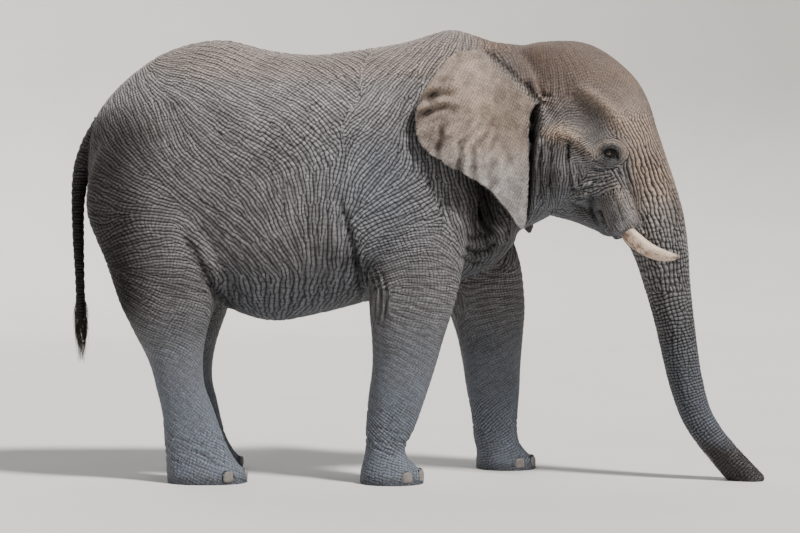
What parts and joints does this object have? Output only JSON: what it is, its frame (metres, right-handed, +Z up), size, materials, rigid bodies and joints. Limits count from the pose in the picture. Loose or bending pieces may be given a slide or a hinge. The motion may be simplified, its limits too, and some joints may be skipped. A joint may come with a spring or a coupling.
{
  "type": "african elephant",
  "caption": "Life-size African elephant bull standing with its trunk reaching down to the floor, ears folded back, short tusks.",
  "frame": {"origin": "on the floor, under the middle of the bounding box", "axes": "+X the way the animal faces, +Y its left side, +Z up"},
  "size_m": [4.9469, 1.536, 3.2258],
  "materials": {
    "skin": "dry wrinkled hide, matt",
    "ivory": "stained ivory, satin",
    "eye": "wet, glossy",
    "nail": "worn horn, matt",
    "hair": "coarse black hair"
  },
  "bodies": {
    "root": {"torso": "skin", "neck": "skin", "head": "skin", "lower_jaw": "skin", "trunk_base": "skin", "trunk_upper": "skin", "trunk_middle": "skin", "trunk_tip": "skin", "leg_front_left": "skin", "leg_front_right": "skin", "leg_hind_left": "skin", "leg_hind_right": "skin", "foot_front_left": "skin", "foot_front_right": "skin", "foot_hind_left": "skin", "foot_hind_right": "skin", "ear_left": "skin", "ear_right": "skin", "tail": "skin", "tail_tuft": "hair", "tusk_left": "ivory", "tusk_right": "ivory", "eye_left": "eye", "eye_right": "eye", "nail_front_left_1": "nail", "nail_front_left_2": "nail", "nail_front_left_3": "nail", "nail_front_left_4": "nail", "nail_front_right_1": "nail", "nail_front_right_2": "nail", "nail_front_right_3": "nail", "nail_front_right_4": "nail", "nail_hind_left_1": "nail", "nail_hind_left_2": "nail", "nail_hind_left_3": "nail", "nail_hind_right_1": "nail", "nail_hind_right_2": "nail", "nail_hind_right_3": "nail"}
  },
  "joints": []
}
